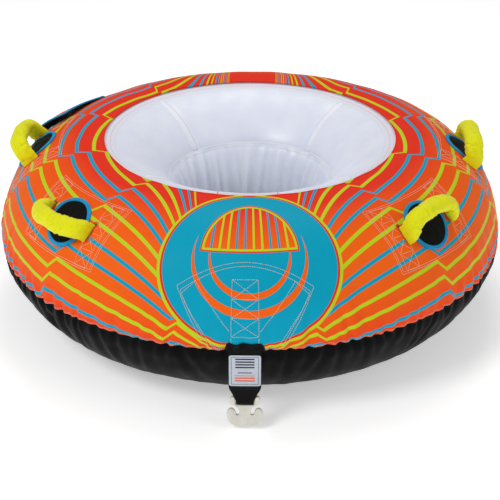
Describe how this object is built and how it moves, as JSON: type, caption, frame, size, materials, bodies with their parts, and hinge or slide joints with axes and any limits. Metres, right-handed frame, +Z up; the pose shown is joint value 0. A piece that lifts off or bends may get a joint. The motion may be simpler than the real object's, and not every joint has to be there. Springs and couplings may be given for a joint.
{
  "type": "towable tube",
  "caption": "Round inflatable tow tube for one rider: printed nylon cover over a PVC bladder, seat well, padded folding grips, tow strap with quick hook, flap over the valve.",
  "frame": {"origin": "on the tube's axis, on the floor plane under the bottom panel", "axes": "+Z up along the tube's axis; -Y to the front, where the tow strap and hook are; +X to the right of a rider who faces the tow strap"},
  "size_m": [1.28, 1.3095, 0.4638],
  "materials": {
    "bladder": "soft satin PVC film",
    "weld": "matt weld",
    "label": "smooth coated label",
    "cover_print": "printed coated nylon weave",
    "cover_black": "coated nylon weave",
    "grommet": "nickel finish",
    "backing": "nylon weave",
    "webbing": "polyester webbing",
    "hook_plastic": "moulded nylon",
    "valve_plastic": "moulded",
    "cap_plastic": "moulded",
    "binding": "woven tape",
    "neoprene": "closed-cell neoprene",
    "grip_fabric": "stretch nylon over foam",
    "foam": "closed-cell foam"
  },
  "bodies": {
    "tube": {"bladder_bottom_panel": "bladder", "bladder_inner_wall": "bladder", "bladder_radial_welds": "weld", "bladder_top_panel": "bladder", "cover_skirt": "cover_black", "cover_top": "cover_print", "drain_grommets": "grommet", "floor_panel": "cover_black", "front_left_anchor": "webbing", "front_left_backing": "backing", "front_left_binding": "binding", "front_left_pad": "neoprene", "front_right_anchor": "webbing", "front_right_backing": "backing", "front_right_binding": "binding", "front_right_pad": "neoprene", "inner_seam_weld": "weld", "rear_left_anchor": "webbing", "rear_left_backing": "backing", "rear_left_binding": "binding", "rear_left_pad": "neoprene", "rear_right_anchor": "webbing", "rear_right_backing": "backing", "rear_right_binding": "binding", "rear_right_pad": "neoprene", "rim_band": "weld", "tow_anchor": "webbing", "tow_reinforcement": "backing", "tow_shoulder": "webbing", "valve_base": "valve_plastic", "well_label": "label"},
    "grip_front_left": {"front_left_sleeve": "grip_fabric", "front_left_foam": "foam", "front_left_webbing": "webbing"},
    "grip_front_right": {"front_right_sleeve": "grip_fabric", "front_right_foam": "foam", "front_right_webbing": "webbing"},
    "grip_rear_left": {"rear_left_sleeve": "grip_fabric", "rear_left_foam": "foam", "rear_left_webbing": "webbing"},
    "grip_rear_right": {"rear_right_sleeve": "grip_fabric", "rear_right_foam": "foam", "rear_right_webbing": "webbing"},
    "tow_strap": {"tow_strap": "webbing", "strap_label": "label"},
    "tow_hook": {"tow_hook": "hook_plastic"},
    "valve_flap": {"valve_flap": "cover_print", "valve_flap_binding": "binding"},
    "valve_cap": {"valve_cap": "cap_plastic"}
  },
  "joints": [
    {"name": "front_left_grip_fold", "type": "hinge", "parent": "tube", "child": "grip_front_left", "pos_m": [-0.42711, -0.39138, 0.39724], "axis": [-0.6756, 0.7373, 0], "range_deg": [-30, 90]},
    {"name": "front_right_grip_fold", "type": "hinge", "parent": "tube", "child": "grip_front_right", "pos_m": [0.42711, -0.39138, 0.39724], "axis": [-0.6756, -0.7373, 0], "range_deg": [-98, 22]},
    {"name": "rear_left_grip_fold", "type": "hinge", "parent": "tube", "child": "grip_rear_left", "pos_m": [-0.56579, 0.01976, 0.40886], "axis": [0.0349, 0.9994, 0], "range_deg": [-60, 60]},
    {"name": "rear_right_grip_fold", "type": "hinge", "parent": "tube", "child": "grip_rear_right", "pos_m": [0.56579, 0.01976, 0.40886], "axis": [0.0349, -0.9994, 0], "range_deg": [-98, 22]},
    {"name": "strap_swing", "type": "hinge", "parent": "tube", "child": "tow_strap", "pos_m": [0, -0.646, 0.2], "axis": [-1, 0, 0], "range_deg": [-10, 98]},
    {"name": "hook_swing", "type": "hinge", "parent": "tow_strap", "child": "tow_hook", "pos_m": [0, -0.65507, 0.07032], "axis": [-1, 0, 0], "range_deg": [-65, 80]},
    {"name": "flap_open", "type": "hinge", "parent": "tube", "child": "valve_flap", "pos_m": [-0.43685, 0.32469, 0.40769], "axis": [-0.7386, 0.3444, -0.5796], "range_deg": [0, 110]},
    {"name": "cap_turn", "type": "hinge", "parent": "tube", "child": "valve_cap", "pos_m": [-0.49919, 0.2119, 0.40569], "axis": [-0.5335, 0.2265, 0.8149], "range_deg": [0, 360]}
  ]
}
